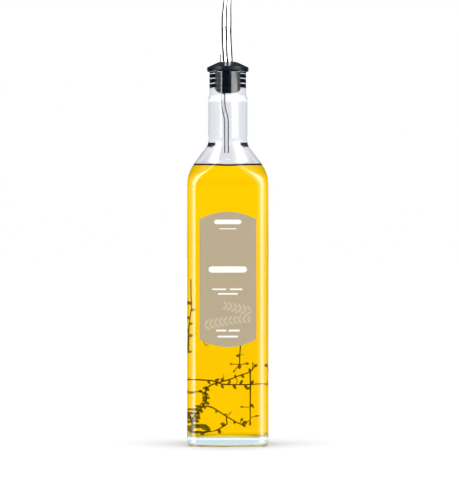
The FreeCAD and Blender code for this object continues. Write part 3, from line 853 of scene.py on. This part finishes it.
# each sprig's points and stem radius; then, if it has leaves, their spacing, length, width and spread in
# degrees, and the stem's bare length at the foot
SPRIGS = [
    # hanging down in the middle, under the label
    ([(9, -14, 71), (8.5, -13, 65), (8.3, -11, 57)], 0.45, (7, 3.4, 2.6, 70, 1)),
    ([(8.3, -11, 57), (12, -13, 57.5)], 0.32, (9, 3.2, 1.8, 0, 0)),
    ([(8.3, -11, 57), (3.5, -9, 57.2)], 0.3, (9, 2.4, 1.4, 0, 0)),
    ([(8.3, -11, 57), (5, -12, 53)], 0.34, (9, 2, 1.4, 0, 0)),
    ([(8.6, -13, 64), (11.3, -15, 64)], 0.22, None),
    # long one that rises from left to right
    ([(-15.5, -16, 40), (-11, -15, 43), (-4, -12, 45), (3, -8, 47), (8, -6, 49), (15.5, -4, 51.5),
      (18.4, -3, 54.8)], 0.48, (5.5, 2.8, 2.1, 65, 3)),
    ([(17.4, -4, 52.7), (17.6, -2, 56.5)], 0.28, (9, 1.8, 1.3, 0, 0)),
    ([(5.5, -7, 47.8), (6.7, -8, 45.3), (5.7, -9, 43.2)], 0.26, (9, 1.6, 1.3, 0, 0)),
    ([(-2.8, -11, 45), (-3.1, -13, 50.4)], 0.22, None),
    # level one across the whole width
    ([(-24.3, -6, 46.5), (-18, -8, 46), (-12, -9, 45.7), (-8.5, -10, 44.8), (-4.5, -10, 43.3), (1, -9, 42.8),
      (8.5, -6, 42.7), (16.5, -2, 42.6), (21, 2, 43), (24, 6, 43)], 0.48, (4.6, 3.8, 2.1, 60, 7)),
    # upright on the right
    ([(15.7, -4.4, 51.3), (15.9, -8, 43), (15.8, -10, 32.5), (15.7, -11, 25), (15.7, -12, 17.5)],
     0.5, (11, 3.6, 1.8, 55, 2)),
    ([(15.7, -11, 27), (11, -12, 27.2)], 0.26, (9, 2.4, 1.4, 0, 0)),
    ([(15.7, -12, 19.6), (18.7, -14, 20.6)], 0.26, (9, 2.6, 1.5, 0, 0)),
    ([(15.7, -12, 18), (13.8, -12, 17)], 0.3, (9, 4.8, 2.8, 0, 0)),
    # bushy one that falls to the lower left corner
    ([(-15, -14.5, 41.8), (-15.6, -13, 36.6), (-15, -12, 32.4), (-16.8, -12, 28.8), (-19, -13, 25.8),
      (-21.5, -15, 22), (-22.6, -16, 18), (-22.8, -17, 15)], 0.5, (1.5, 3.4, 2.6, 65, 0)),
    ([(-15.6, -13, 37.2), (-19.4, -14, 37.9), (-23.4, -16, 37.9)], 0.36, (3, 3.4, 2.2, 30, 0)),
    ([(-22.9, -16.4, 17.4), (-23.6, -15, 22.6), (-24.2, -14, 28)], 0.45, (4, 2.2, 1.8, 50, 4)),
    ([(-23.2, -17, 14.6), (-19, -17, 14), (-16.5, -16.5, 13.4)], 0.4, (0.9, 4.6, 3, 12, 0)),
    # from the bushy one down to the right
    ([(-16, -12, 28), (-11, -11, 26.8), (-6, -9.5, 23.7), (-1.2, -8, 20.6), (4.7, -6, 17), (10.6, -5, 14.2)],
     0.48, (8, 2.2, 1.8, 70, 1)),
    ([(8.6, -5.4, 15.2), (9.4, -5.4, 17)], 0.3, (9, 2.4, 2.2, 0, 0)),
    ([(-0.8, -8, 20.5), (2.8, -6, 23.8)], 0.26, None),
    # curling along the floor to the lower left corner
    ([(-0.7, -8, 20), (-1, -9, 17.7), (-0.6, -10, 15.4), (-4.6, -12, 12.8), (-9, -13, 10.7),
      (-14.6, -14, 9.8), (-20.5, -15, 9.8), (-23.8, -16, 10.8)], 0.46, (5.6, 3.8, 2.8, 60, 2)),
    ([(-13.5, -14, 9.8), (-17, -15, 9.6), (-19.5, -15, 9.6)], 0.4, (1.2, 4.4, 2.2, 6, 0)),
    # upright along the left edge
    ([(-23.3, -16.5, 117), (-23.2, -16.5, 104.5), (-22.9, -16.5, 99.5), (-23.4, -16.5, 93),
      (-23.9, -16.5, 86), (-24, -16.5, 80), (-24.1, -16.5, 67)], 0.2, (5, 1.9, 2.8, 60, 12)),
    # tip that shows under the label's left corner
    ([(-17, -20, 73.3), (-15.2, -20, 70.5), (-13.5, -19.5, 71.7)], 0.28, (9, 2.6, 1.8, 0, 0)),
]


def add_herbs():
    """Stems and leaves of all sprigs, as one piece each."""
    random.seed(4)
    stems, leaves = [], []
    for points, thick, dressing in SPRIGS:
        stems.append(stalk(points, thick, thick * STEM_TAPER))
        if dressing:
            leaves += leaves_along(points, *dressing)
    stem = plain("herb_stem", from_srgb(124, 74, 22), 0.7)
    leaf = plain("herb_leaf", from_srgb(176, 172, 44), 0.65)
    for name, parts, material, sharp in (("herb_stems", stems, stem, 60), ("herb_leaves", leaves, leaf, 80)):
        points, faces = merge(parts)
        add_mesh(name, [kept_in(point) for point in points], faces, material, sharp=sharp)


# ------------------------------------------------------------------ floor and camera

def add_floor():
    """White floor, which mirrored and refracted rays pass through, so that they see the sky below too."""
    half = 40
    corners = [(-half, -half, 0), (half, -half, 0), (half, half, 0), (-half, half, 0)]
    mesh = bpy.data.meshes.new("floor")
    mesh.from_pydata(corners, [], [(0, 1, 2, 3)])
    floor = bpy.data.objects.new("floor", mesh)
    bpy.context.scene.collection.objects.link(floor)
    material, shader = new_material("floor_white", Base_Color=(0.95, 0.95, 0.95, 1), Roughness=0.9)
    tree = material.node_tree
    path = add_node(tree, "LightPath").outputs
    passes = calc(tree, "MAXIMUM", path["Is Glossy Ray"], path["Is Transmission Ray"])
    clear = add_node(tree, "BsdfTransparent").outputs[0]
    both = add_node(tree, "MixShader", {0: passes, 1: shader.outputs[0], 2: clear})
    tree.links.new(both.outputs[0], tree.nodes["Material Output"].inputs["Surface"])
    mesh.materials.append(material)


# camera, in metres: its distance, height and place to the right, and the width of the picture at the bottle
DISTANCE = 1.8
CAMERA_HEIGHT = 0.1374
CAMERA_SIDE = 0.0012
PICTURE_WIDTH = 0.3254


def add_camera():
    """Camera straight in front, level, at the photograph's viewing angle."""
    data = bpy.data.cameras.new("camera")
    data.sensor_fit = "HORIZONTAL"
    data.sensor_width = 36
    data.lens = data.sensor_width * DISTANCE / PICTURE_WIDTH
    camera = bpy.data.objects.new("camera", data)
    camera.location = (CAMERA_SIDE, -DISTANCE, CAMERA_HEIGHT)
    camera.rotation_euler = (QUARTER, 0, 0)
    bpy.context.scene.collection.objects.link(camera)
    bpy.context.scene.camera = camera
    bpy.context.scene.view_settings.view_transform = "Standard"


# ------------------------------------------------------------------ studio light

# A surface that faces half-way between the front and a direction mirrors that direction to the front, so the
# studio is laid out by this half-way bearing and lift. All stops are (degrees, level).

# white cards all round; the dark gaps between them draw the edges of the glass and the steel
DARK = 0.02
CARDS = ((-90, 1), (-78, 1), (-75, DARK), (-43.5, DARK), (-40, 1), (-17.5, 1), (-16.5, DARK),
         (0, DARK), (1.5, 1), (40, 1), (43.5, DARK), (75, DARK), (78, 1), (90, 1))
# the cards are dim where the body mirrors them, and high up
DIM = 0.2
CARDS_LIFT = ((-6, 1), (-4, DIM), (2, DIM), (2.4, 1), (21, 1), (23, DIM))
# a dark strip straight ahead, where the photographer stands, keeps the front panel clear
GAP = ((-4, 0), (-2.2, 1), (2.2, 1), (4, 0))
GAP_LIFT = ((-6, 0), (-3, 1), (38, 1), (42, 0))
# two soft boxes give the light bands at the body's edges and on the plug
LEFT_BOX = ((-45, 0), (-39, 0.12), (-33, 0.52), (-28, 0.88), (-23, 1), (-18.5, 0.76), (-17, 0.5), (-16, 0))
RIGHT_BOX = ((5, 0), (10, 0.07), (15, 0.24), (20, 0.67), (25, 1), (30, 0.97), (35.5, 0.62), (41, 0.18),
             (48, 0))
BOX_LIFT = ((-14, 0), (-8, 1), (1.3, 1), (1.5, 0.15), (2.9, 0.15), (3.1, 1), (4, 1.4), (38, 1.4), (44, 0))
# narrower ones take their place where the neck mirrors them
NECK_BOXES = ((-23, 0), (-21.5, 1), (-18.5, 1), (-17, 0), (10.5, 0), (12, 1), (30, 1), (32.5, 0))
NECK_LIFT = ((1.3, 0), (1.5, 1), (2.1, 1), (2.3, 0))
BOX_LEVEL = 7.5
# what is seen through the glass, by the height (sine) of the ray that leaves it
THROUGH = ((-1, 0.5), (-0.5, 1.1), (-0.35, 1.2), (-0.1, 1.18), (-0.057, 1.09), (-0.03, 1.08), (0, 1.13),
           (0.025, 1.2), (0.034, 1.12), (0.037, 0.84), (0.5, 0.92), (0.8, 0.5), (1, 0.4))
THROUGH_COLOR = (0.985, 0.97, 1.03, 1)
# strength of the sky that lights plain surfaces
SKY_LEVEL = 1.15


def mirrored_level(tree, ray):
    """Level of the sky for mirrored rays, from the direction's outputs X, Y and Z."""
    to_front = calc(tree, "SUBTRACT", 1, ray["Y"])
    bearing = calc(tree, "DEGREES", calc(tree, "ARCTAN2", ray["X"], to_front))
    level_reach = calc(tree, "SQRT", calc(tree, "ADD", calc(tree, "MULTIPLY", ray["X"], ray["X"]),
                                          calc(tree, "MULTIPLY", to_front, to_front)))
    lift = calc(tree, "DEGREES", calc(tree, "ARCTAN2", ray["Z"], level_reach))

    def area(bearing_stops, lift_stops):
        return calc(tree, "MULTIPLY", stops(tree, bearing, bearing_stops), stops(tree, lift, lift_stops))

    cards = calc(tree, "MULTIPLY", area(CARDS, CARDS_LIFT), calc(tree, "SUBTRACT", 1, area(GAP, GAP_LIFT)))
    boxes = calc(tree, "ADD", area(LEFT_BOX, BOX_LIFT), area(RIGHT_BOX, BOX_LIFT))
    boxes = calc(tree, "ADD", boxes, area(NECK_BOXES, NECK_LIFT))
    return calc(tree, "ADD", cards, calc(tree, "MULTIPLY", boxes, BOX_LEVEL))


def add_studio():
    """White sky, which differs for mirrored rays, rays through the glass, and the camera."""
    world = bpy.data.worlds.new("studio")
    bpy.context.scene.world = world
    world.use_nodes = True
    tree = world.node_tree
    tree.nodes.clear()
    ray = axes_of(tree, add_node(tree, "TexCoord").outputs["Generated"])
    path = add_node(tree, "LightPath").outputs

    def shade(level, color=WHITE):
        return add_node(tree, "Background", {"Color": color, "Strength": level}).outputs[0]

    sky = shade(SKY_LEVEL)
    own_sky = (("Is Glossy Ray", shade(mirrored_level(tree, ray))),
               ("Is Transmission Ray", shade(stops(tree, ray["Z"], THROUGH), THROUGH_COLOR)),
               ("Is Camera Ray", shade(1.0)))
    for kind, own in own_sky:
        sky = add_node(tree, "MixShader", {0: path[kind], 1: sky, 2: own}).outputs[0]
    add_node(tree, "OutputWorld", {"Surface": sky})


# ------------------------------------------------------------------ the scene

add_glass()
add_oil()
add_oil_line_painted_shade()
add_label_paper()
add_label_bars()
add_label_leaves()
add_spout()
add_vent()
add_stopper()
add_herbs()
add_floor()
add_camera()
add_studio()
